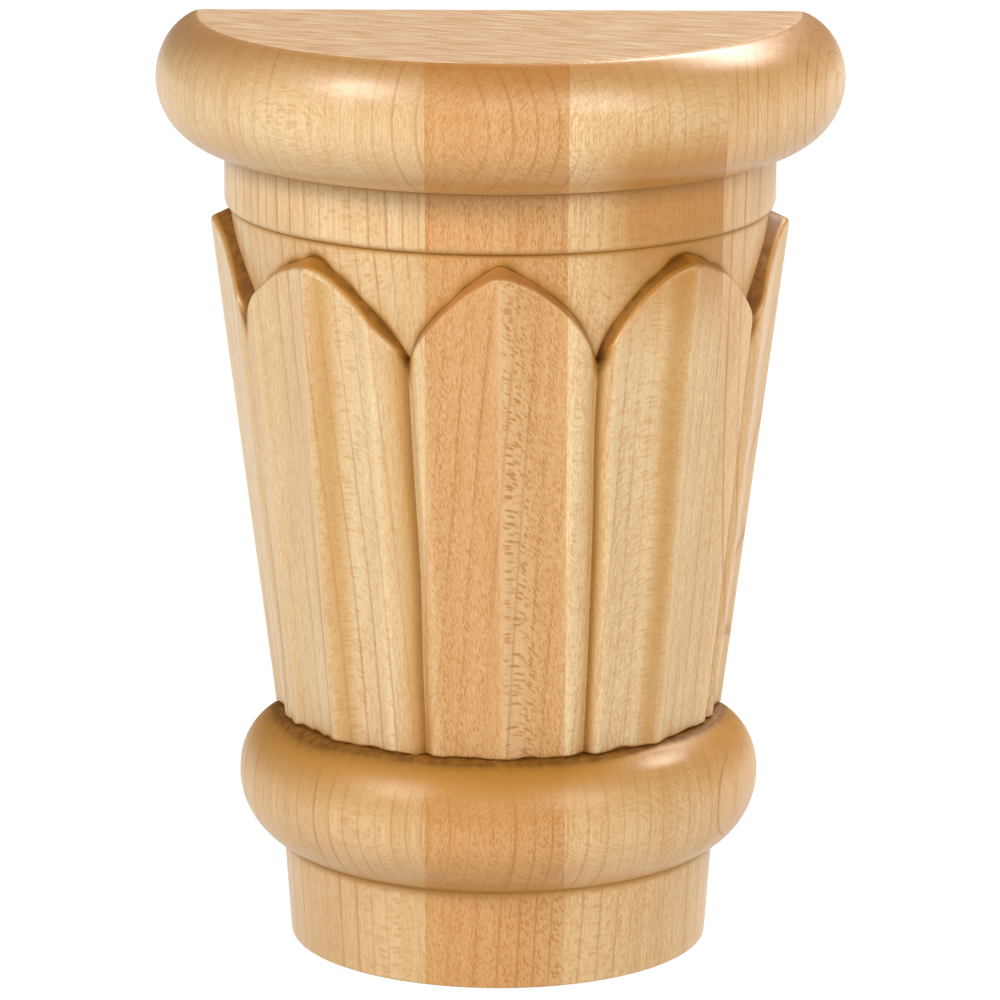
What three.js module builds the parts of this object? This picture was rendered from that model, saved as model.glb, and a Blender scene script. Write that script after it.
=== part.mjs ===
// A half-round wooden capital, turned and carved in one piece from a maple blank.
// Millimetres, +Z up. The carved front faces -Y and the flat back faces +Y.
// The origin is on the underside, in the middle of the outer box.
import * as THREE from 'three';

// Base drum
const baseRadius = 56.7; // where the lower ring sits on it
const baseTaper = 1.9; // how far the foot draws in
const baseHeight = 26.6;

// Lower ring
const lowerRingTube = 19.3; // radius of its section
const lowerRingRise = 20.4; // the upper half is a little fuller
const lowerRingReach = 11.6; // how far it stands out from the base drum
const footSetIn = 9.5; // from the ring's outermost line in to the ridges' feet

// Bell with pointed leaves
const bellHeight = 134.4; // from the leaves' feet to the fascia's lower edge
const leafRelief = 5.9; // height of the ridges above the ground behind the leaves
const tipGap = 4; // from the highest leaf tips up to the fascia
const fluteDepth = 1.8; // hollow of each leaf face, on both sides of its ridge
const shoulderDrop = 0.9; // how far a leaf's side shoulder lies below its ridge
const edgeRound = 1.3; // softened edge at the top of a leaf
const wallRise = 2.6; // how much a leaf's top wall leans, over the full relief
const footStep = 0.5; // step cut into the ring round the leaves' feet

// Fascia band
const fasciaRadius = 71.5;
const fasciaHeight = 15.9;
const fasciaLip = 1.5; // how far the band stands out from the ground behind the leaves
const fasciaRound = 2.3; // height of its rounded lower edge

// Top ring, a torus planed flat above
const topRingTube = 17.5; // radius of its section
const topRise = 16.9; // from the ring's middle up to the flat top
const topEdgeSetIn = 10; // from the ring's outermost line in to the edge of the flat top

// Where the carver laid out the ridges and the grooves between them, by turns from one cut
// side to the other. The directions are in degrees round from the front, at the leaves' tips
// and at their feet. The drop is how far a ridge's tip, or the notch above a groove, lies below
// the highest tips. The depth is how far a groove lies below the ridges.
const cutDegrees = 90;
const leafLines = [
  { tipDegrees: -cutDegrees, footDegrees: -cutDegrees, drop: 0 },
  { tipDegrees: -65.4, footDegrees: -70, drop: 21, depth: 1.5 },
  { tipDegrees: -41.6, footDegrees: -46.5, drop: 2.4 },
  { tipDegrees: -20.5, footDegrees: -19.5, drop: 25, depth: 4.2 },
  { tipDegrees: 0, footDegrees: 1.2, drop: 1.4 },
  { tipDegrees: 20.7, footDegrees: 23.4, drop: 25.2, depth: 4.2 },
  { tipDegrees: 41.6, footDegrees: 44.6, drop: 1.3 },
  { tipDegrees: 66.2, footDegrees: 72, drop: 24.5, depth: 3.2 },
  { tipDegrees: cutDegrees, footDegrees: cutDegrees, drop: 0.3 },
];

// How finely the curves are cut
const columnsPerHalfLeaf = 10;
const lowerRingSteps = 7; // below its middle, and as many above
const leafSteps = 5;
const groundSteps = 2;
const fasciaRoundSteps = 4;
const topRingSteps = 9; // below its middle, and as many above

// Shape of a leaf, as shares of its own half width
const shoulderAt = 0.8; // where the face turns down into the groove
const archStraight = 0.62; // the rest of the arch is bent
const tipBlunt = 0.13; // how blunt the point is

// Heights and radii that follow
const lowerRingCentre = baseRadius + lowerRingReach - lowerRingTube;
const baseToRing = Math.acos((baseRadius - lowerRingCentre) / lowerRingTube);
const lowerRingMiddle = baseHeight + lowerRingTube * Math.sin(baseToRing);
const ridgeFootRadius = lowerRingCentre + lowerRingTube - footSetIn;
const ringToFoot = Math.acos((ridgeFootRadius - lowerRingCentre) / lowerRingTube);
const footHeight = lowerRingMiddle + lowerRingRise * Math.sin(ringToFoot);
const fasciaFoot = footHeight + bellHeight;
const fasciaTop = fasciaFoot + fasciaHeight;
const groundTopRadius = fasciaRadius - fasciaLip;
const ridgeTopRadius = groundTopRadius + leafRelief;
const tipHeight = fasciaFoot - tipGap;
const topRingMiddle = fasciaTop + topRingTube;
const topEdgeAcross = (topRingTube - topEdgeSetIn) / topRingTube;
const topRingUp = topRise / Math.sqrt(1 - topEdgeAcross ** 2);
const outerRadius = Math.max(fasciaRadius + topRingTube, baseRadius + lowerRingReach);

// Radius of the leaves' ridges at a height: a straight taper from fascia to foot.
function ridgeRadius(height) {
  const share = (height - footHeight) / bellHeight;
  return ridgeFootRadius + share * (ridgeTopRadius - ridgeFootRadius);
}

// How far a leaf's face lies below its ridge, at a share of the half width out from the ridge.
// A shallow hollow runs to the shoulder, and from there the face turns down into the groove.
function faceDrop(share, groove) {
  if (share > shoulderAt) {
    const turn = (share - shoulderAt) / (1 - shoulderAt);
    return shoulderDrop + (groove.depth - shoulderDrop) * turn ** 2;
  }
  const across = share / shoulderAt;
  return shoulderDrop * across + 4 * fluteDepth * across * (1 - across);
}

// Height of the pointed arch above one half leaf, from its blunt tip down to the notch.
function archHeight(share, ridge, groove) {
  const blunted = (Math.hypot(share, tipBlunt) - tipBlunt) / (Math.hypot(1, tipBlunt) - tipBlunt);
  const fall = archStraight * blunted + (1 - archStraight) * blunted ** 3;
  return tipHeight - ridge.drop - (groove.drop - ridge.drop) * fall;
}

// Points [radius, height] along an arc of an ellipse, angles from the horizontal.
function arcPoints(centre, middle, across, up, from, to, steps) {
  return Array.from({ length: steps + 1 }, (unused, step) => {
    const angle = from + ((to - from) * step) / steps;
    return [centre + across * Math.cos(angle), middle + up * Math.sin(angle)];
  });
}

// The two leaf lines that a column stands between, and how far it is on its way to the second.
function besideColumn(column) {
  const line = Math.min(Math.floor(column / columnsPerHalfLeaf), leafLines.length - 2);
  return [leafLines[line], leafLines[line + 1], column / columnsPerHalfLeaf - line];
}

// Direction of a column at a height, in radians round from the front.
function columnAngle(column, height) {
  const [before, after, between] = besideColumn(column);
  const climb = THREE.MathUtils.clamp((height - footHeight) / (tipHeight - footHeight), 0, 1);
  const [from, to] = [before, after].map(
    ({ tipDegrees, footDegrees }) => THREE.MathUtils.lerp(footDegrees, tipDegrees, climb),
  );
  return THREE.MathUtils.degToRad(THREE.MathUtils.lerp(from, to, between));
}

// Outline [radius, height] of the capital from foot to top, through one column of the carving.
function columnOutline(column) {
  const [before, after, between] = besideColumn(column);
  const [ridge, groove, share] = 'depth' in after
    ? [before, after, between] : [after, before, 1 - between];
  const drop = faceDrop(share, groove);
  const arch = archHeight(share, ridge, groove);

  const outline = [[baseRadius - baseTaper, 0]];
  outline.push(...arcPoints(lowerRingCentre, lowerRingMiddle, lowerRingTube, lowerRingTube,
    -baseToRing, 0, lowerRingSteps));
  outline.push(...arcPoints(lowerRingCentre, lowerRingMiddle, lowerRingTube, lowerRingRise,
    0, ringToFoot, lowerRingSteps).slice(1));

  const faceFoot = footHeight + footStep;
  const faceTop = arch - edgeRound;
  for (let step = 0; step <= leafSteps; step += 1) {
    const height = faceFoot + ((faceTop - faceFoot) * step) / leafSteps;
    outline.push([ridgeRadius(height) - drop, height]);
  }

  const wallWidth = leafRelief - drop;
  const wallTop = arch + (wallRise * wallWidth) / leafRelief;
  outline.push([ridgeRadius(arch) - drop - edgeRound / 2, arch]);
  for (let step = 0; step <= groundSteps; step += 1) {
    const height = wallTop + ((fasciaFoot - wallTop) * step) / (groundSteps + 1);
    outline.push([ridgeRadius(height) - leafRelief, height]);
  }

  outline.push(...arcPoints(groundTopRadius, fasciaFoot + fasciaRound, fasciaLip, fasciaRound,
    -Math.PI / 2, 0, fasciaRoundSteps));
  outline.push(...arcPoints(fasciaRadius, topRingMiddle, topRingTube, topRingTube,
    -Math.PI / 2, 0, topRingSteps));
  outline.push(...arcPoints(fasciaRadius, topRingMiddle, topRingTube, topRingUp,
    0, Math.acos(topEdgeAcross), topRingSteps).slice(1));
  return outline;
}

// The closed skin: columns side by side round the front, then strips straight across
// the half round close the flat back, the underside and the flat top.
function carvedHalfRound() {
  const columns = columnsPerHalfLeaf * (leafLines.length - 1);
  const outlines = Array.from(
    { length: columns + 1 },
    (unused, column) => columnOutline(column),
  );
  const rows = outlines[0].length;
  const positions = [];
  outlines.forEach((outline, column) => {
    const onBack = column === 0 || column === columns;
    outline.forEach(([radius, height]) => {
      const angle = columnAngle(column, height);
      const forward = onBack ? 0 : radius * Math.cos(angle);
      positions.push(radius * Math.sin(angle), -forward, height);
    });
  });

  const corners = [];
  const vertex = (column, row) => column * rows + row;
  const addFace = (...ring) => {
    for (let corner = 2; corner < ring.length; corner += 1) {
      corners.push(ring[0], ring[corner - 1], ring[corner]);
    }
  };
  for (let column = 0; column < columns; column += 1) {
    for (let row = 0; row < rows - 1; row += 1) {
      addFace(vertex(column, row), vertex(column + 1, row),
        vertex(column + 1, row + 1), vertex(column, row + 1));
    }
  }
  for (let row = 0; row < rows - 1; row += 1) {
    addFace(vertex(columns, row), vertex(0, row), vertex(0, row + 1), vertex(columns, row + 1));
  }
  for (let column = 0; column < columns / 2; column += 1) {
    const across = columns - column;
    const strip = column + 1 === across - 1
      ? [column, column + 1, across] : [column, column + 1, across - 1, across];
    addFace(...strip.map((place) => vertex(place, rows - 1)));
    addFace(...strip.map((place) => vertex(place, 0)).reverse());
  }

  const geometry = new THREE.BufferGeometry();
  geometry.setAttribute('position', new THREE.Float32BufferAttribute(positions, 3));
  geometry.setIndex(corners);
  geometry.computeVertexNormals();
  return geometry;
}

const maple = new THREE.MeshStandardMaterial({ color: 0xdfba7c, roughness: 0.42, metalness: 0 });

const capital = new THREE.Mesh(carvedHalfRound(), maple);
capital.name = 'capital';
capital.position.set(0, outerRadius / 2, 0);

const model = new THREE.Group();
model.add(capital);

export default model;
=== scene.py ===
# %% [markdown]
# # A half-round capital, carved in maple
# The real object is one block. Maple staves are glued side by side, the block is turned on a
# lathe, halved down its middle, and a carver cuts pointed leaves into the bell. A clear satin
# finish goes over everything. We make it the same way: one skin, first turned, then carved.
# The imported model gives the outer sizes, so nothing here is fitted by eye afterwards.

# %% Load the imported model
import math

import bpy
import numpy as np
from mathutils import Matrix, Vector


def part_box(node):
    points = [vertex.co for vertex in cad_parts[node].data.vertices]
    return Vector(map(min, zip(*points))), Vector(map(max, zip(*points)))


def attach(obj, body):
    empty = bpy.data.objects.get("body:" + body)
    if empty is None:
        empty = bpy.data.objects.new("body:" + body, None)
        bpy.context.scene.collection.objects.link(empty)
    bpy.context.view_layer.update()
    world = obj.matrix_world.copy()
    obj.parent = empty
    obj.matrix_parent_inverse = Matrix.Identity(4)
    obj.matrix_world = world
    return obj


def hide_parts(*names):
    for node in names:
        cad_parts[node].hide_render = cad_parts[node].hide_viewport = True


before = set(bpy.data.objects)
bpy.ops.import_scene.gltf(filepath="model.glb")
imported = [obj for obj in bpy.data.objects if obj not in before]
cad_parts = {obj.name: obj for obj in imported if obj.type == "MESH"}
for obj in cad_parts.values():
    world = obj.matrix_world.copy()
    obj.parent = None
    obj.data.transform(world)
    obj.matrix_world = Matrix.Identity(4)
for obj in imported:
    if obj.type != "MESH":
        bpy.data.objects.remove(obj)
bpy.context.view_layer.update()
MM = 0.001
low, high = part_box("capital")
outer_radius = (high.x - low.x) / 2 / MM
total_height = high.z / MM
axis_y = high.y / MM
print(f"outer radius {outer_radius:.1f} mm, height {total_height:.1f} mm")
print(f"the turning axis lies in the flat back, at y = {axis_y:.1f} mm")

# %% [markdown]
# ## Sizes of the turned members
# A turner works from a list like this one, from the floor up. All sizes are millimetres. The
# fascia's radius isn't in the list: it is what the top ring leaves of the outer radius.

# %% Sizes
base_radius = 56.7
base_taper = 1.9
base_height = 26.6
lower_ring_tube = 19.3
lower_ring_rise = 20.4
lower_ring_reach = 11.6
foot_set_in = 9.5
bell_height = 134.4
leaf_relief = 5.9
tip_gap = 4.0
flute_depth = 1.8
shoulder_drop = 0.9
wall_rise = 2.6
edge_round = 1.3
fascia_height = 15.9
fascia_lip = 1.5
fascia_round = 2.3
top_ring_tube = 17.5
top_rise = 16.9

fascia_radius = outer_radius - top_ring_tube
lower_ring_centre = base_radius + lower_ring_reach - lower_ring_tube
base_to_ring = math.acos((base_radius - lower_ring_centre) / lower_ring_tube)
lower_ring_middle = base_height + lower_ring_tube * math.sin(base_to_ring)
ridge_foot_radius = lower_ring_centre + lower_ring_tube - foot_set_in
ring_to_foot = math.acos((ridge_foot_radius - lower_ring_centre) / lower_ring_tube)
foot_height = lower_ring_middle + lower_ring_rise * math.sin(ring_to_foot)
fascia_foot = foot_height + bell_height
fascia_top = fascia_foot + fascia_height
ground_top_radius = fascia_radius - fascia_lip
ridge_top_radius = ground_top_radius + leaf_relief
tip_height = fascia_foot - tip_gap
top_ring_middle = fascia_top + top_ring_tube
print(f"leaves' feet at {foot_height:.1f} mm, tips at {tip_height:.1f} mm")
print(f"flat top worked out at {top_ring_middle + top_rise:.2f} mm, packed at {total_height:.2f} mm")

# %% [markdown]
# ## Columns of the carving
# Ridges and grooves take turns round the half circle. The carver's spacing is a little uneven,
# so each line has its own angle at the leaves' tips and at their feet, and one of them bows by
# a degree in between. Between two lines we place many columns of points, closer together beside
# ridge and groove, where the surface turns quickly. The half leaves at both ends stop at the
# straight cut sides, so nothing may wander there: the share called inland is 0 on them.

# %% Columns
tip_angles = np.array([-90, -65.4, -41.6, -20.5, 0, 20.7, 41.6, 66.2, 90])
foot_angles = np.array([-90, -70, -46.5, -19.5, 1.2, 23.4, 44.6, 72, 90])
groove_bows = np.array([0, 0, 0, 1.0, 0, 0, 0, 0, 0])
columns_per_half_leaf = 36
lines = np.arange(len(tip_angles))
half_leaves = len(tip_angles) - 1


def crowd_ends(share, strength):
    """Moves evenly spaced shares from 0 to 1 towards both ends: the share minus a sine of one
    full wave, times strength. With strength near 1 the ends are very close together."""
    return share - strength * np.sin(2 * np.pi * share) / (2 * np.pi)


steps = np.arange(columns_per_half_leaf) / columns_per_half_leaf
place = (lines[:-1, None] + crowd_ends(steps, 0.6)[None, :]).ravel()
place = np.append(place, half_leaves)
share = 1 - np.abs(1 - np.mod(place, 2))
tip_angle = np.interp(place, lines, tip_angles)
foot_angle = np.interp(place, lines, foot_angles)
inland = np.clip(np.minimum(place, half_leaves - place) / 0.5, 0, 1)
print(f"{len(place)} columns, share of the half leaf from {share.min():.2f} to {share.max():.2f}")


# %% [markdown]
# ## The hand that carved it
# Nothing carved by hand runs quite true. A few sines with drawn lengths and starts are enough
# for edges that wander by fractions of a millimetre. The draws are seeded, so that the piece
# comes out the same each time.

# %% Hand wander
def wander(along, wave, seed):
    """Smooth wander of about -1 to 1: five sines of along, with lengths drawn round wave and
    drawn starts, added and scaled."""
    chance = np.random.default_rng(seed)
    lengths = wave * chance.uniform(0.55, 1.8, 5)
    starts = chance.uniform(0, 2 * np.pi, 5)
    along = np.asarray(along, float)
    return np.sin(2 * np.pi * along[..., None] / lengths + starts).sum(-1) / 2.6


def ripple(across, up, wave_across, wave_up, seed):
    """Smooth wander over a surface: eight plane waves with drawn directions and starts."""
    chance = np.random.default_rng(seed)
    total = 0
    for _ in range(8):
        lean = chance.uniform(-1, 1)
        climb = chance.uniform(0.5, 1.5)
        start = chance.uniform(0, 2 * np.pi)
        waves = lean * across / wave_across + climb * up / wave_up
        total = total + np.sin(2 * np.pi * waves + start)
    return total / 4


arc = np.radians(tip_angle) * fascia_radius
print(f"wander along the tips, in mm: {np.round(wander(arc[::60], 12, 1) * 0.3, 2)}")


# %% [markdown]
# ## The section of a leaf, and the arch above it
# From its ridge a leaf falls away in a shallow hollow, rises a little to a shoulder, and turns
# down into the groove. The arch on top is nearly straight beside the blunt tip and steepens
# towards the notch. The carver worked by eye, so each tip, notch, groove and flank has its own
# number. Ridges and grooves are counted from one cut side to the other. The last four lists say
# how dark each wall, the flank beside each groove, the ground behind each wall and the hollow
# beside each ridge are painted. On walls, flanks and ground that is partly brown finish left when
# it was wiped and partly painted shade; a wall below zero is painted paler, a painted highlight.
# Beside the ridges it is painted shade only.

# %% Leaf shape
tip_lower = np.array([0.0, 2.4, 1.4, 1.3, 0.3])
notch_drops = np.array([21.0, 25.0, 25.2, 24.5])
groove_depths = np.array([1.5, 4.2, 4.2, 3.2])
shoulders_at = np.array([0.8, 0.8, 0.68, 0.85, 0.72, 0.87, 0.85, 0.8])
arch_straights = np.array([0.75, 0.45, 0.80, 0.72, 0.55, 0.55, 0.45, 0.7])
# Painted per half leaf: brown that is partly finish and partly painted shade, below zero a painted
# highlight, beside the ridges painted shade.
wall_stain_shade_and_light = np.array([1.0, 0.3, 0.9, -0.1, -0.2, 0.85, 0.2, 1.0])
flank_stain_and_shade = np.array([0.2, 0.2, 0.9, 0.2, 0.35, 0.9, 0.35, 0.4])
ground_stain_and_shade = np.array([0.4, 0.3, 0.5, 0.75, 0.75, 0.6, 0.3, 0.5])
hollow_shade_amounts = np.array([0, 0, 0.28, 0, 0, 0.30, 0, 0.15])
tip_blunt = 0.13
sanding = 0.022
arch_wander = 0.16


def half_leaf(place):
    """Number of the half leaf that a place lies in, and its share of the way to the groove."""
    number = np.minimum(place.astype(int), half_leaves - 1)
    return number, 1 - np.abs(1 - np.mod(place, 2))


def by_half_leaf(values):
    """One value for each half leaf, spread over the columns, with a short ramp at each line."""
    knots = lines[:-1, None] + np.array([0.08, 0.92])
    return np.interp(place, knots.ravel(), np.repeat(values, 2))


def sharp_drop(place):
    """Depth of a leaf's face below its ridge, as the gouge leaves it. Up to the shoulder it is a
    straight fall plus a parabola; beyond it the fall grows with the square of the way in."""
    number, share = half_leaf(place)
    shoulder = shoulders_at[number]
    across = np.minimum(share / shoulder, 1)
    turn = np.clip((share - shoulder) / (1 - shoulder), 0, 1)
    hollow = shoulder_drop * across + 4 * flute_depth * across * (1 - across)
    return hollow + (groove_depths[number // 2] - shoulder_drop) * turn ** 2


def face_drop(place):
    """The sharp drop after sanding: its running average under a bell curve as wide as sanding."""
    fine = np.linspace(-1, half_leaves + 1, 4001)
    folded = np.where(fine > half_leaves, 2 * half_leaves - fine, np.abs(fine))
    bell = np.exp(-0.5 * (np.arange(-60, 61) * (fine[1] - fine[0]) / sanding) ** 2)
    soft = np.convolve(sharp_drop(folded), bell / bell.sum(), mode="same")
    return np.interp(place, fine, soft)


def arch_height(place):
    """Height of the arch: from the tip down to the notch by a mix of the share and its cube,
    with the share blunted near 0 as a hyperbola is."""
    number, share = half_leaf(place)
    tip = tip_height - tip_lower[(number + 1) // 2]
    notch = tip_height - notch_drops[number // 2]
    blunted = np.hypot(share, tip_blunt) - tip_blunt
    blunted = blunted / (math.hypot(1, tip_blunt) - tip_blunt)
    straight = arch_straights[number]
    return tip - (tip - notch) * (straight * blunted + (1 - straight) * blunted ** 3)


def ridge_radius(height):
    """Radius of the ridges: a straight taper from the fascia down to the feet."""
    climb = (height - foot_height) / bell_height
    return ridge_foot_radius + climb * (ridge_top_radius - ridge_foot_radius)


half_number = half_leaf(place)[0]
drop = face_drop(place)
arch = arch_height(place) + arch_wander * inland * wander(arc, 14, 2)
print(f"face drop from {drop.min():.2f} to {drop.max():.2f} mm, arch down to {arch.min():.1f} mm")

# %% [markdown]
# ## The skin, band by band
# The skin is a grid of rows and columns. Each band below adds rows of radius and height, from
# the foot up, and says for each point how deep it sits in a crevice, because the brown of the
# carved corners is painted from that later. That brown is partly finish left in the corners and
# partly painted shade; below zero the value asks for a painted highlight instead.

# %% Bands of the skin
radii = []
heights = []
crevices = []
columns = len(place)


def add_band(radius, height, crevice=0.0):
    """Adds rows to the skin: three arrays of rows by columns, or anything that spreads to that."""
    shape = np.broadcast_shapes(np.shape(radius), np.shape(height), (1, columns))
    radii.append(np.broadcast_to(radius, shape))
    heights.append(np.broadcast_to(height, shape))
    crevices.append(np.broadcast_to(crevice, shape))


def rows(count, start=0.0, end=1.0):
    """A standing array of shares from start to end, one for each row of a band."""
    return np.linspace(start, end, count)[:, None]


def fade(distance, reach):
    """1 at distance 0, falling off exponentially over reach."""
    return np.exp(-np.abs(distance) / reach)


def bump(distance, width):
    """1 at distance 0, falling off to both sides as a bell curve does."""
    return np.exp(-0.5 * (distance / width) ** 2)


def bend(first, corner, last, count):
    """Rows along a parabola from first to last that is tangent to the lines to the corner, each
    point a pair of radius and height. The first point itself is left out."""
    t = rows(count + 1)[1:]
    weights = ((1 - t) ** 2, 2 * t * (1 - t), t ** 2)
    points = (first, corner, last)
    radius = sum(w * np.asarray(p[0]) for w, p in zip(weights, points))
    height = sum(w * np.asarray(p[1]) for w, p in zip(weights, points))
    return radius, height


print(f"each row of the skin has {columns} points")


# %% [markdown]
# The plain drum at the foot is a little narrower at the floor, and its lower edge is eased with
# sandpaper. Above it comes the lower ring. Its section is a half circle below and a slightly
# taller half ellipse above, and it runs in until it meets the leaves. Beside the right leaf the
# chisel slipped and left a shallow pared spot.

# %% Drum
foot_ease = 0.7
foot_radius = base_radius - base_taper
add_band(foot_radius - foot_ease, 0.0)
add_band(*bend((foot_radius - foot_ease, 0), (foot_radius, 0), (foot_radius, foot_ease), 4))
climb = rows(12)[1:-1]
drum_height = foot_ease + climb * (base_height - foot_ease)
drum_radius = foot_radius + base_taper * (drum_height / base_height)
# Painted shade: the drum is darker just under the lower ring and towards the floor.
drum_painted_shade = 0.5 * fade(base_height - drum_height, 1.0) + 0.16 * fade(drum_height, 4.0)
add_band(drum_radius, drum_height, drum_painted_shade)
print(f"drum radius {drum_radius.min():.1f} to {drum_radius.max():.1f} mm")

# %% Lower ring, up to its middle
turn = rows(34, -base_to_ring, 0)
below = lower_ring_middle + lower_ring_tube * np.sin(turn)
below_radius = lower_ring_centre + lower_ring_tube * np.cos(turn)
# Painted shade where the lower ring meets the drum.
add_band(below_radius, below, 0.5 * fade(below - base_height, 0.8))
print(f"the lower ring reaches {below_radius.max():.1f} mm")

# %% [markdown]
# The leaves' feet don't end in a clean line. The brown reaches furthest from them at the left
# leaf, and a haze of it lies over the top of the ring: partly brown finish left at the feet and
# partly painted shade. Places round the front are told by the arc, the way along the fascia in
# millimetres, with 0 in the middle.

# %% Top of the lower ring
ragged = 0.32
splinters = 0.07
pared_depth = 0.5
foot_line = foot_height + inland * (ragged * wander(arc, 12, 3) + splinters * wander(arc, 1.7, 4))
left_foot = bump(arc + 60, 9)
right_foot = bump(arc - 42, 10)
dark_reach = 0.5 + 0.75 * left_foot + 0.3 * right_foot + 0.05 * wander(arc, 5, 7)
turn = rows(40, 0, 1)[1:] * ring_to_foot
above = lower_ring_middle + lower_ring_rise * np.sin(turn)
toward = lower_ring_centre + lower_ring_tube * np.cos(turn)
pared = bump(arc - 49, 8) * bump(above - foot_height + 2.5, 1.4)
# Painted at the feet and over the ring's top: brown, partly finish and partly painted shade.
haze_and_shade = 0.62 - 0.34 * bump(arc - 55, 20)
foot_stain_and_shade = 0.95 * fade(foot_height - above, dark_reach) + haze_and_shade * fade(foot_height - above, 8.0)
# Painted highlight: the pared spot is made paler by the value below zero.
add_band(toward - pared_depth * pared, above, foot_stain_and_shade.clip(0, 1) - 0.6 * pared)
print(f"the foot line wanders between {foot_line.min():.1f} and {foot_line.max():.1f} mm")

# %% [markdown]
# At the leaves' feet the knife has gone a little too deep, as it does in hard wood: there is a
# narrow slit, and the edge above it is ragged. From there the faces run up to the arch. Their
# rows are crowded towards both ends, where the crevice's brown needs fine steps.

# %% Slit and leaf faces
slit_depth = 0.35
slit_heights = (0.12, 0.3)
foot_lip = 0.55
tool_mark = 0.07
foot_face = ridge_radius(foot_line) - drop
# Both slit rows are painted darkest: brown finish and painted shade in the slit.
for slit_height in slit_heights:
    add_band(foot_face - slit_depth, foot_height + slit_height, 1.0)

climb = crowd_ends(rows(64), 0.93)
face_start = foot_line + foot_lip
face_top = arch - edge_round
face_height = face_start + climb * (face_top - face_start)
tool_marks = tool_mark * ripple(place * 24, face_height, 30, 26, 5) * inland
face_radius = ridge_radius(face_height) - drop + tool_marks
print(f"faces: {face_radius.shape[0]} rows, radius {face_radius.min():.1f} to {face_radius.max():.1f} mm")

# %% [markdown]
# How brown is a face? It is darkest in the notch and at the foot, golden down the flank into the
# groove, and on some leaves golden beside the ridge. In notch, foot and flank that is partly brown
# finish and partly painted shade; beside the ridge it is painted shade. Where none of it lies,
# shoulder and ridge get a painted highlight, a little paler than the rest.

# %% Brown and painted shade on the leaf faces
deepest = 0.95
shoulder = shoulders_at[half_number]
flank = np.clip((share - shoulder) / (1 - shoulder), 0, 1)
in_notch = np.clip((share - 0.86) / 0.14, 0, 1)
# Painted down the flank into the groove: brown, partly finish and partly painted shade.
groove_shade = flank_stain_and_shade[half_number] * (0.42 * flank ** 1.2 + 0.33 * flank ** 6)
# Painted in the notch: darkest brown, partly finish and partly painted shade.
notch_shade = deepest * in_notch * fade(face_top - face_height, 3.5)
# Painted at the foot of the face: brown, partly finish and partly painted shade.
foot_shade = 0.85 * fade(face_height - face_start, 0.45 * dark_reach)
# Painted shade: darker gold in the hollow beside some ridges.
hollow_shade = hollow_shade_amounts[half_number] * bump(share - 0.15, 0.11)
# Painted highlight: shoulder and ridge are painted paler where no brown lies.
ridge_painted_highlight = 0.2 * bump(share - 0.97 * shoulder, 0.035) + 0.2 * bump(share, 0.03)
darkened = np.maximum(np.maximum(foot_shade, groove_shade), np.maximum(notch_shade, hollow_shade))
face_crevice = np.where(darkened > 0.08, darkened, darkened - ridge_painted_highlight)
add_band(face_radius, face_height, face_crevice)
print(f"crevice value on the faces from {face_crevice.min():.2f} to {face_crevice.max():.2f}")

# %% [markdown]
# The arch's edge is softened, and the wall behind it leans in to the ground. Saw and gouge leave
# the wall browner and less smooth than the face, and brown finish has settled where it meets
# the ground. Part of that brown on walls and ground is painted shade, and the rims and the middle
# leaf's walls are painted paler, a painted highlight. The ground tapers as the ridges do and ends
# under the fascia.

# %% Edge of the arch
edge_face = ridge_radius(arch) - drop + tool_marks[-1]
wall_width = leaf_relief - drop
wall_top = arch + wall_rise * wall_width / leaf_relief
ground_at_wall = ridge_radius(wall_top) - leaf_relief
wall_length = np.hypot(edge_face - ground_at_wall, wall_top - arch)
softened = np.minimum(edge_round / wall_length, 0.6)
soft_end_radius = edge_face + softened * (ground_at_wall - edge_face)
soft_end = (soft_end_radius, arch + softened * (wall_top - arch))
soft_radius, soft_height = bend((face_radius[-1], face_top), (edge_face, arch), soft_end, 7)
wall_brown_and_shade = by_half_leaf(wall_stain_shade_and_light)
# The notch's painted brown and painted shade, carried onto the edge and the wall.
notch_stain_and_shade = deepest * in_notch
# Painted highlight: the softened rim is painted paler; brown and painted shade grow towards the wall.
rim_painted_highlight = -0.5 * np.sin(np.pi * rows(7).clip(0, 0.75) / 0.75)
add_band(soft_radius, soft_height, np.maximum(rim_painted_highlight + 0.5 * wall_brown_and_shade * rows(7) ** 2, notch_stain_and_shade))
print(f"the softened edge takes {softened.min():.2f} to {softened.max():.2f} of the wall")

# %% Walls
gouge_mark = 0.10
inward = rows(11)[1:]
gouge = gouge_mark * wander(arc, 4.0, 6) * np.sin(np.pi * inward) * inland
wall_radius = soft_end[0] + inward * (ground_at_wall - soft_end[0])
wall_height = soft_end[1] + inward * (wall_top - soft_end[1]) + gouge
# Painted on the walls: brown, partly finish and partly painted shade, darkest at the ground; on the
# middle leaf the walls are painted paler, a painted highlight.
wall_shade = wall_brown_and_shade * (0.72 + 0.28 * inward ** 1.5)
wall_shade = wall_shade + (deepest - wall_shade) * inward ** 6
add_band(wall_radius, wall_height, np.maximum(wall_shade, notch_stain_and_shade))
print(f"walls lean up by {float((wall_top - arch).max()):.1f} mm at the tips")

# %% Ground behind the leaves
climb = crowd_ends(rows(24), 0.9)[1:-1]
ground_height = wall_top + climb * (fascia_foot - wall_top)
behind = ground_height - wall_top
uneven = 0.75 + 0.25 * wander(arc, 7, 9)
# Painted on the ground: brown behind each wall and a little everywhere, partly finish and partly painted
# shade in the recess.
spread = by_half_leaf(ground_stain_and_shade) * uneven * fade(behind, 2.4)
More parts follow.
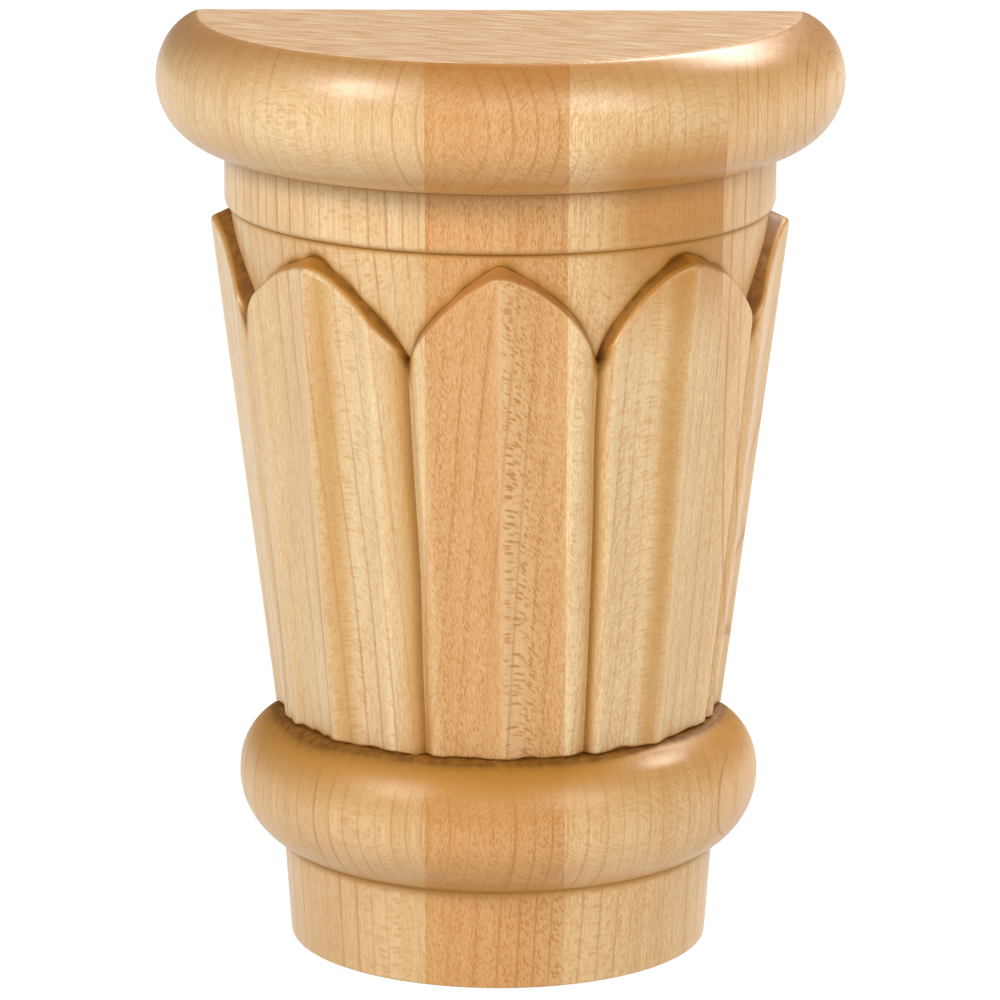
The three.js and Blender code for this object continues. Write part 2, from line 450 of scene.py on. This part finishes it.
# Painted shadow on the ground under the fascia's lower edge.
under_fascia = 0.75 * fade(fascia_foot - ground_height, 0.9)
ground_crevice = np.maximum(deepest * uneven * fade(behind, 1.2), spread)
ground_crevice = np.maximum(ground_crevice, under_fascia).clip(0.10)
ground_radius = ridge_radius(ground_height) - leaf_relief
add_band(ground_radius, ground_height, ground_crevice)
print(f"ground radius {ground_radius.min():.1f} to {ground_radius.max():.1f} mm")

# %% [markdown]
# The fascia has a rounded lower edge that throws a thin shadow on the ground; that shadow is also
# painted on the ground and on the rounded edge, and painted shade darkens the corner where the
# top ring springs from it. The top ring springs from it at a right angle. Its upper half is an
# ellipse that stops at the planed top; the edge there is further out in front than at the cut
# sides, and it is eased.

# %% Fascia
turn = rows(9, -np.pi / 2, 0)
round_radius = ground_top_radius + fascia_lip * np.cos(turn)
round_height = fascia_foot + fascia_round * (1 + np.sin(turn))
# Painted shadow on the fascia's rounded lower edge.
add_band(round_radius, round_height, 0.6 * fade(round_height - fascia_foot, 0.5))
climb = crowd_ends(rows(12), 0.85)[1:-1]
band_height = fascia_foot + fascia_round + climb * (fascia_height - fascia_round)
# Painted shade at the top of the fascia, under the top ring.
add_band(fascia_radius, band_height, 0.8 * fade(fascia_top - band_height, 0.7))
print(f"fascia radius {fascia_radius:.1f} mm, from {fascia_foot:.1f} to {fascia_top:.1f} mm")

# %% Top ring
edge_ease = 2.0
flat_rim = 4.0
turn = rows(34, -np.pi / 2, 0)
ring_height = top_ring_middle + top_ring_tube * np.sin(turn)
ring_radius = fascia_radius + top_ring_tube * np.cos(turn)
# Painted shade where the top ring springs from the fascia.
add_band(ring_radius, ring_height, 0.8 * fade(ring_radius - fascia_radius, 0.8))

edge_set_in = 11.3 - 4.3 * np.cos(np.radians(tip_angle + 22)).clip(0) ** 2
edge_across = (top_ring_tube - edge_set_in) / top_ring_tube
ring_up = top_rise / np.sqrt(1 - edge_across ** 2)
turn_end = np.arccos(edge_across)
turn = rows(36)[1:] * (turn_end - 0.09)
add_band(fascia_radius + top_ring_tube * np.cos(turn), top_ring_middle + ring_up * np.sin(turn))
last = (radii[-1][-1], heights[-1][-1])
corner = (fascia_radius + top_ring_tube * edge_across, total_height)
inner = (corner[0] - edge_ease, total_height)
add_band(*bend(last, corner, inner, 6))
add_band(corner[0] - flat_rim, total_height)
print(f"the top ring reaches {float(ring_radius.max()):.1f} mm")
print(f"the flat top's edge is at {float(corner[0].min()):.1f} to {float(corner[0].max()):.1f} mm")

# %% [markdown]
# ## One closed mesh
# The rows are stacked into one grid. Each point's angle lies between the angle of its column at
# the foot and at the tip, by its height. Strips straight across the half round close the flat
# back, the underside and the flat top, so the skin is a closed solid, as the real piece is.

# %% Stack and place the grid
radius = np.concatenate(radii)
height = np.concatenate(heights)
crevice = np.concatenate(crevices)
climb = np.clip((height - foot_height) / (tip_height - foot_height), 0, 1)
bow = np.interp(place, lines, groove_bows)
angle = np.radians(foot_angle + climb * (tip_angle - foot_angle) + bow * 4 * climb * (1 - climb))
on_bell = inland * (climb > 0) * (climb < 1)
angle = angle + np.radians(0.22) * ripple(place * 20, height, 50, 70, 8) * on_bell
forward = radius * np.cos(angle)
forward[:, 0] = 0
forward[:, -1] = 0
points = np.stack([radius * np.sin(angle), axis_y - forward, height], -1) * MM
row_count = len(radius)
print(f"{row_count} rows by {columns} columns")


# %% Faces of the grid and of the flat sides
def grid_faces():
    """Quads between neighbouring rows and columns, turned to face forwards, then one strip for
    each pair of rows on the back, then strips between mirrored columns below and on top."""
    number = np.arange(row_count * columns).reshape(row_count, columns)
    skin = np.stack([number[:-1, :-1], number[:-1, 1:], number[1:, 1:], number[1:, :-1]], -1)
    back = np.stack([number[:-1, -1], number[:-1, 0], number[1:, 0], number[1:, -1]], -1)
    half = columns // 2
    left = np.arange(half)
    right = columns - 1 - left
    strip = (left, left + 1, right - 1, right)
    top = np.stack([number[-1, column] for column in strip], -1)
    under = np.stack([number[0, column] for column in reversed(strip)], -1)
    return skin.reshape(-1, 4), np.concatenate([back, top[:-1], under[:-1]]), (top[-1], under[-1])


skin_faces, flat_faces, ends = grid_faces()
faces = skin_faces.tolist() + flat_faces.tolist()
faces += [[int(end[corner]) for corner in (0, 1, 3)] for end in ends]
mesh = bpy.data.meshes.new("carved_capital")
mesh.from_pydata(points.reshape(-1, 3).tolist(), [], faces)
# The crevice values go on the mesh: they drive the painted brown, the painted shade and the painted
# highlights.
crevice_layer = mesh.attributes.new("crevice", "FLOAT", "POINT")
crevice_layer.data.foreach_set("value", crevice.ravel().astype(np.float32))
smooth = np.ones(len(faces), bool)
smooth[len(skin_faces):] = False
mesh.polygons.foreach_set("use_smooth", smooth)
mesh.set_sharp_from_angle(angle=math.radians(50))
mesh.validate()
capital = bpy.data.objects.new("carved_capital", mesh)
bpy.context.collection.objects.link(capital)
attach(capital, "root")
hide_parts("capital")
print(f"carved_capital has {sum(len(f) - 2 for f in faces)} triangles")


# %% [markdown]
# ## Building a material
# A material is a small net of nodes. One function adds a node, sets its values and joins its
# inputs, so the recipe below reads as a list of steps. Colours are given as sRGB hex, as one
# would pick them from a board, and turned to the linear values that the shader wants. Where a
# change mustn't have a hard edge, the node that maps a range is told to ease it.

# %% Node helpers
def linear(code):
    """Turns an sRGB hex colour to linear red, green, blue: below 0.04 a division by 12.92,
    above it a power of 2.4."""
    parts = [int(code[place:place + 2], 16) / 255 for place in (0, 2, 4)]
    return (*(v / 12.92 if v <= 0.04045 else ((v + 0.055) / 1.055) ** 2.4 for v in parts), 1.0)


def add_node(kind, values=(), output=None, **settings):
    """Adds a node with its settings. The values fill its open inputs in order, or by name where
    they are a dictionary: a socket is linked, anything else is set. Returns the output of the
    name given, or else the first one that is open."""
    node = tree.nodes.new(kind)
    for name, setting in settings.items():
        setattr(node, name, setting)
    sockets = [socket for socket in node.inputs if socket.enabled]
    if isinstance(values, dict):
        sockets = [node.inputs[name] for name in values]
        values = values.values()
    for socket, value in zip(sockets, values):
        if isinstance(value, bpy.types.NodeSocket):
            tree.links.new(value, socket)
        else:
            socket.default_value = value
    if output:
        return node.outputs[output]
    return next((socket for socket in node.outputs if socket.enabled), None)


eased = {"interpolation_type": "SMOOTHSTEP"}
maple = bpy.data.materials.new("hard maple under satin lacquer")
maple.use_nodes = True
tree = maple.node_tree
tree.nodes.clear()
print(f"maple's light stave in linear colour: {[round(v, 3) for v in linear('E2CAA0')[:3]]}")

# %% [markdown]
# ## Hard maple under satin lacquer
# Maple is pale and fine. What the eye finds in it is all one solid pattern, cut at different
# angles: growth rings about the tree's middle, and rays, thin sheets that run outwards from
# it. Cut across, a ray shows as a short dark dash. Where the surface runs along the rays, as
# beside a ridge or on one side of the turned rings, they open into golden flecks on paler wood.
# So we don't paint dashes and flecks. For each stave we say where the middle of its tree was,
# and lay rings and rays round it in three dimensions. The surface cuts them as the gouge did.

# %% Staves
seams = (-18.7, 17.0, 56.5)
stave_colours = ("E2CAA0", "DBB381", "EED5A8", "EBCB9C")
stave_hearts = ((-290.0, 153.0), (173.0, 56.0), (215.0, 87.0), (170.0, -3.0))
ring_widths = (4.6, 4.8, 4.6, 2.8)
line_strengths = (0.50, 0.45, 0.32, 0.62)
dash_strengths = (0.16, 0.66, 0.36, 0.14)
fleck_strengths = (0.28, 0.70, 0.26, 0.25)
print(f"{len(seams)} seams, staves {np.round(np.diff(seams), 1)} mm wide between them")

object_place = add_node("ShaderNodeTexCoord", output="Object")
position = add_node("ShaderNodeVectorMath", {"Vector": object_place, "Scale": 1 / MM}, operation="SCALE")
across = add_node("ShaderNodeSeparateXYZ", [position], output="X")
depth = add_node("ShaderNodeSeparateXYZ", [position], output="Y")
up = add_node("ShaderNodeSeparateXYZ", [position], output="Z")
facing = add_node("ShaderNodeNewGeometry", output="Normal")
facing_up = add_node("ShaderNodeSeparateXYZ", [facing], output="Z")

grown = [(*heart, width) for heart, width in zip(stave_hearts, ring_widths)]
marks = list(zip(line_strengths, dash_strengths, fleck_strengths))
growth = grown[0]
mark = marks[0]
tone = linear(stave_colours[0])
for number, seam in enumerate(seams, start=1):
    beyond = add_node("ShaderNodeMath", [across, seam], operation="GREATER_THAN")
    growth = add_node("ShaderNodeMix", [beyond, growth, grown[number]], data_type="VECTOR")
    mark = add_node("ShaderNodeMix", [beyond, mark, marks[number]], data_type="VECTOR")
    tone = add_node("ShaderNodeMix", [beyond, tone, linear(stave_colours[number])], data_type="RGBA")
ring_width = add_node("ShaderNodeSeparateXYZ", [growth], output="Z")
line_strength = add_node("ShaderNodeSeparateXYZ", [mark], output="X")
dash_strength = add_node("ShaderNodeSeparateXYZ", [mark], output="Y")
fleck_strength = add_node("ShaderNodeSeparateXYZ", [mark], output="Z")

# %% [markdown]
# Rings first. The distance from the tree's heart, bent a little by slow noise, is divided by
# the ring width, and what is left over after the whole number says where in its year the wood
# stands. The late wood is a thin brown line at the end of each year.

# %% Growth rings
sway = 4.0
grain_slope = 0.02
from_tree = add_node("ShaderNodeVectorMath", [position, growth], operation="SUBTRACT")
outward = add_node("ShaderNodeVectorMath", [from_tree, (1, 1, 0)], operation="MULTIPLY")
heart_distance = add_node("ShaderNodeVectorMath", [outward], operation="LENGTH")
slow_place = add_node("ShaderNodeVectorMath", [position, (0.045, 0.045, 0.0022)], operation="MULTIPLY")
slow = add_node("ShaderNodeTexNoise", [slow_place, 1.0, 0.0])
bent = add_node("ShaderNodeMath", [slow, sway * 2, heart_distance], operation="MULTIPLY_ADD")
bent = add_node("ShaderNodeMath", [up, grain_slope, bent], operation="MULTIPLY_ADD")
years = add_node("ShaderNodeMath", [bent, ring_width], operation="DIVIDE")
of_year = add_node("ShaderNodeMath", [years], operation="FRACT")
rising = add_node("ShaderNodeMapRange", [of_year, 0.78, 0.94, 0, 1], **eased)
falling = add_node("ShaderNodeMapRange", [of_year, 0.96, 1.0, 1, 0], **eased)
late = add_node("ShaderNodeMath", [rising, falling], operation="MULTIPLY")
patch_place = add_node("ShaderNodeVectorMath", [position, (0.06, 0.06, 0.012)], operation="MULTIPLY")
patches = add_node("ShaderNodeTexNoise", [patch_place, 1.0, 2.0])
patches = add_node("ShaderNodeMapRange", [patches, 0.35, 0.65, 0.10, 1.0])
for part in (patches, line_strength):
    late = add_node("ShaderNodeMath", [late, part], operation="MULTIPLY")
print(f"growth rings are drawn {min(ring_widths)} to {max(ring_widths)} mm wide")

# %% [markdown]
# Rays next: a cell pattern whose cells are long outwards, as tall as a ray, and very thin
# sideways. A slope seen from the heart counts the sheets. Real rays are thinner still; these
# are as coarse as they must be to show. Where the surface's normal has almost no part in the
# outward direction, the cut is quartered: flecks, and paler wood between them. The sawn back
# is rough and shows few of them.

# %% Rays and flecks
ray_length = 4.0
ray_height = 1.5
ray_thickness = 0.12
usual_distance = 150.0
outward_x = add_node("ShaderNodeSeparateXYZ", [outward], output="X")
outward_y = add_node("ShaderNodeSeparateXYZ", [outward], output="Y")
sheet = add_node("ShaderNodeMath", [outward_y, outward_x], operation="DIVIDE")
sheet = add_node("ShaderNodeMath", [sheet, usual_distance / ray_thickness], operation="MULTIPLY")
along_ray = add_node("ShaderNodeMath", [heart_distance, ray_length], operation="DIVIDE")
up_ray = add_node("ShaderNodeMath", [up, ray_height], operation="DIVIDE")
ray_place = add_node("ShaderNodeCombineXYZ", [along_ray, sheet, up_ray])
near = add_node("ShaderNodeTexVoronoi", {"Vector": ray_place, "Scale": 1.0}, output="Distance")
chance = add_node("ShaderNodeSeparateColor", [near.node.outputs["Color"]], output="Red")
chance = add_node("ShaderNodeMapRange", [chance, 0.0, 0.75, 0, 1])
ray = add_node("ShaderNodeMapRange", [near, 0.60, 0.32, 0, 1], **eased)
ray = add_node("ShaderNodeMath", [ray, chance], operation="MULTIPLY")
outward = add_node("ShaderNodeVectorMath", [outward], operation="NORMALIZE")
crossing = add_node("ShaderNodeVectorMath", [outward, facing], operation="DOT_PRODUCT")
crossing = add_node("ShaderNodeMath", [crossing], operation="ABSOLUTE")
quartered = add_node("ShaderNodeMapRange", [crossing, 0.03, 0.26, 1, 0], **eased)
ray_strength = add_node("ShaderNodeMix", [quartered, dash_strength, fleck_strength])
carved_side = add_node("ShaderNodeMapRange", [depth, 44.0, 30.0, 0.2, 1.0])
for part in (ray_strength, carved_side):
    ray = add_node("ShaderNodeMath", [ray, part], operation="MULTIPLY")
print(f"rays are drawn {ray_height} mm tall and {ray_thickness} mm thick")

# %% [markdown]
# Fibre is the finest of it: noise drawn out along the trunk, with broader bands behind it. End
# grain drinks the finish, so shoulders that cut across the fibre are darker, but the planed top
# was sanded closed and stays pale and pinkish. Part of the shoulders' darkening is painted
# shade, and the darkening of the undersides is painted shade.

# %% Fibre
fibre_place = add_node("ShaderNodeVectorMath", [position, (2.8, 2.8, 0.10)], operation="MULTIPLY")
fibre = add_node("ShaderNodeTexNoise", [fibre_place, 1.0, 3.0, 0.7])
fibre_shade = add_node("ShaderNodeMapRange", [fibre, 0.40, 0.68, 0.0, 0.48])
band_place = add_node("ShaderNodeVectorMath", [position, (0.2, 0.2, 0.004)], operation="MULTIPLY")
bands = add_node("ShaderNodeTexNoise", [band_place, 1.0, 2.0])
band_shade = add_node("ShaderNodeMapRange", [bands, 0.35, 0.7, 0.0, 0.28])
print(f"{len(tree.nodes)} nodes so far")

# %% End grain and painted shade
streak_turn = math.radians(22)
# Painted: upward faces darker, partly end grain and partly painted shade; downward faces darker, painted
# shade.
shoulder = add_node("ShaderNodeMapRange", [facing_up, 0.10, 0.85, 0.0, 0.72], **eased)
underside = add_node("ShaderNodeMapRange", [facing_up, -0.10, -0.85, 0.0, 0.34], **eased)
end_grain_and_shade = add_node("ShaderNodeMath", [shoulder, underside], operation="ADD")
planed = add_node("ShaderNodeMapRange", [facing_up, 0.97, 0.99, 0, 1], **eased)
turning = {"Vector": position, "Angle": streak_turn}
turned = add_node("ShaderNodeVectorRotate", turning, rotation_type="Z_AXIS")
streak_place = add_node("ShaderNodeVectorMath", [turned, (0.07, 0.55, 0.0)], operation="MULTIPLY")
streaks = add_node("ShaderNodeTexNoise", [streak_place, 1.0, 3.0, 0.6])
streaks = add_node("ShaderNodeMapRange", [streaks, 0.35, 0.62, 0, 1])
end_colour = add_node("ShaderNodeMix", [streaks, linear("F3D9B9"), linear("D3AA7E")], data_type="RGBA")
print(f"{len(tree.nodes)} nodes so far")

# %% [markdown]
# Last the finish. The brown was wiped off the faces and stayed in the corners; part of that
# brown is painted shade. Where the attribute is below zero, on rims, ridges, the pared spot and
# the middle leaf's walls, the wood is painted paler, a painted highlight.

# %% Brown finish, painted shade and painted highlight
crevice_depth = add_node("ShaderNodeAttribute", output="Fac", attribute_name="crevice")
# Painted highlight where the crevice value is below zero.
painted_highlight = add_node("ShaderNodeMapRange", [crevice_depth, 0.0, -1.0, 0.0, 1.0])
blotch_place = add_node("ShaderNodeVectorMath", [position, (0.45, 0.45, 0.35)], operation="MULTIPLY")
blotches = add_node("ShaderNodeTexNoise", [blotch_place, 1.0, 2.0])
hold = add_node("ShaderNodeMapRange", [blotches, 0.25, 0.6, 0.55, 0.92])
# Painted brown from the crevice values: partly finish and partly painted shade.
corner_darkness = add_node("ShaderNodeMapRange", [crevice_depth, 0.0, 1.0, 0.0, 1.0])
thin_brown = add_node("ShaderNodeMapRange", [corner_darkness, 0.0, 0.45, 0.0, 0.85], **eased)
deep_brown = add_node("ShaderNodeMapRange", [corner_darkness, 0.25, 0.9, 0.0, 1.0], **eased)
deep_brown = add_node("ShaderNodeMath", [deep_brown, hold], operation="MULTIPLY")
print(f"{len(tree.nodes)} nodes so far")

# %% [markdown]
# Over the third stave, towards its heart and about as high as the fascia, a painted shade turns
# the wood darker gold, and the whole block is a little more golden at the foot. Then everything
# is mixed in the order in which it lies, from the wood's own tone to the brown, painted shade and
# painted highlight on top of it.

# %% Colours from the wood up
pale_amount = 0.25
planed_amount = 0.75
pale_shade = add_node("ShaderNodeMath", [quartered, pale_amount], operation="MULTIPLY")
planed_shade = add_node("ShaderNodeMath", [planed, planed_amount], operation="MULTIPLY")
# Painted shade: darker gold over the third stave, round the fascia and the top ring.
golden_painted_shade = add_node("ShaderNodeMapRange", [across, 20.0, 36.0, 0.0, 0.8], **eased)
golden_from = add_node("ShaderNodeMapRange", [up, 165.0, 198.0, 0.1, 1.0], **eased)
golden_to = add_node("ShaderNodeMapRange", [up, 218.0, 234.0, 1.0, 0.2], **eased)
third_stave = add_node("ShaderNodeMath", [across, seams[2]], operation="LESS_THAN")
for part in (golden_from, golden_to, third_stave, carved_side):
    golden_painted_shade = add_node("ShaderNodeMath", [golden_painted_shade, part], operation="MULTIPLY")
golden_foot = add_node("ShaderNodeMapRange", [up, 75.0, 45.0, 0.0, 0.24], **eased)
golden = add_node("ShaderNodeMath", [golden_painted_shade, golden_foot], operation="MAXIMUM")

layers = (
    (band_shade, linear("CB9652")),
    (fibre_shade, linear("BD8644")),
    (pale_shade, linear("F2DCB2")),
    (golden, linear("C08636")),
    (late, linear("AC682A")),
    (ray, linear("B97730")),
    (end_grain_and_shade, linear("A87029")),
    (planed_shade, end_colour),
    (painted_highlight, linear("F6E3BE")),
    (thin_brown, linear("C08D3E")),
    (deep_brown, linear("7A4E0C")),
)
colour = tone
for amount, layer_colour in layers:
    colour = add_node("ShaderNodeMix", [amount, colour, layer_colour], data_type="RGBA")
print(f"{len(layers)} layers of colour over the wood's own tone")

# %% [markdown]
# The lacquer is satin: soft, but clear enough to draw a bright line on the turned rings. It is
# duller where the wood drank it, in the crevices. The fibre stands up under it by a hair.

# %% Lacquer
roughness = add_node("ShaderNodeMath", [blotches, 0.14, 0.24], operation="MULTIPLY_ADD")
roughness = add_node("ShaderNodeMath", [corner_darkness, 0.25, roughness], operation="MULTIPLY_ADD")
raised = add_node("ShaderNodeBump", {"Strength": 0.10, "Distance": 0.0002, "Height": fibre})
finish = {"Base Color": colour, "Roughness": roughness, "Normal": raised, "IOR": 1.5}
surface = add_node("ShaderNodeBsdfPrincipled", finish)
add_node("ShaderNodeOutputMaterial", {"Surface": surface})
mesh.materials.append(maple)
print(f"maple material: {len(tree.nodes)} nodes")

# %% [markdown]
# ## Studio
# A white table, large soft lights round about, and a camera where the photographer stood: well
# back, with a long lens, looking down by about thirteen degrees. Two lights make the marks that
# show on the rings: one from the left in front, and a bright one from behind on the right. The
# table gives off light of its own, so that it stays evenly white.

# %% Table
table_reach = 8.0
corners = [(-table_reach, -table_reach, 0), (table_reach, -table_reach, 0),
           (table_reach, table_reach, 0), (-table_reach, table_reach, 0)]
table_mesh = bpy.data.meshes.new("table")
table_mesh.from_pydata(corners, [], [(0, 1, 2, 3)])
table = bpy.data.objects.new("table", table_mesh)
bpy.context.collection.objects.link(table)
card = bpy.data.materials.new("white card")
card.use_nodes = True
card_surface = card.node_tree.nodes["Principled BSDF"]
card_surface.inputs["Base Color"].default_value = linear("303030")
card_surface.inputs["Roughness"].default_value = 1.0
card_surface.inputs["Specular IOR Level"].default_value = 0.0
card_surface.inputs["Emission Color"].default_value = (1, 1, 1, 1)
card_surface.inputs["Emission Strength"].default_value = 1.0
table_mesh.materials.append(card)
print(f"table {2 * table_reach:.0f} m wide")

# %% Lights
world = bpy.data.worlds.new("studio")
bpy.context.scene.world = world
world.use_nodes = True
world.node_tree.nodes["Background"].inputs["Color"].default_value = (1, 1, 1, 1)
world.node_tree.nodes["Background"].inputs["Strength"].default_value = 0.25


def soft_light(name, place, size, power):
    """A rectangular light at a place in metres, turned towards the capital's middle, with the
    lengths of its sides and its power in watts."""
    lamp_data = bpy.data.lights.new(name, "AREA")
    lamp_data.shape = "RECTANGLE"
    lamp_data.size, lamp_data.size_y = size
    lamp_data.energy = power
    lamp = bpy.data.objects.new(name, lamp_data)
    lamp.location = place
    aim = Vector((0, 0, 0.13)) - Vector(place)
    lamp.rotation_euler = aim.to_track_quat("-Z", "Y").to_euler()
    bpy.context.collection.objects.link(lamp)


soft_light("left light", (-1.25, -0.9, 1.25), (0.65, 0.55), 19.5)
soft_light("back light", (0.8, 1.05, 1.45), (1.3, 0.5), 30)
soft_light("right light", (1.15, -1.55, 1.3), (0.9, 0.9), 19)
soft_light("front light", (-0.2, -2.2, 1.3), (1.0, 0.8), 6.8)
print(f"{len(bpy.data.lights)} soft lights")

# %% Camera
camera_aside = 0.0002
camera_distance = 1.678
camera_height = 0.521
camera_pitch = 13.547
camera_roll = 0.18
camera_data = bpy.data.cameras.new("camera")
camera_data.lens = 236.9
camera_data.sensor_width = 36.0
camera_data.clip_end = 50.0
camera = bpy.data.objects.new("camera", camera_data)
bpy.context.collection.objects.link(camera)
stand = Matrix.Translation((camera_aside, axis_y * MM - camera_distance, camera_height))
pitch = Matrix.Rotation(math.radians(90 - camera_pitch), 4, "X")
camera.matrix_world = stand @ pitch @ Matrix.Rotation(math.radians(camera_roll), 4, "Z")
bpy.context.scene.camera = camera
bpy.context.scene.view_settings.view_transform = "Standard"
bpy.context.scene.view_settings.gamma = 0.85
print(f"camera {camera_distance:.2f} m in front of the axis, lens {camera_data.lens:.0f} mm")
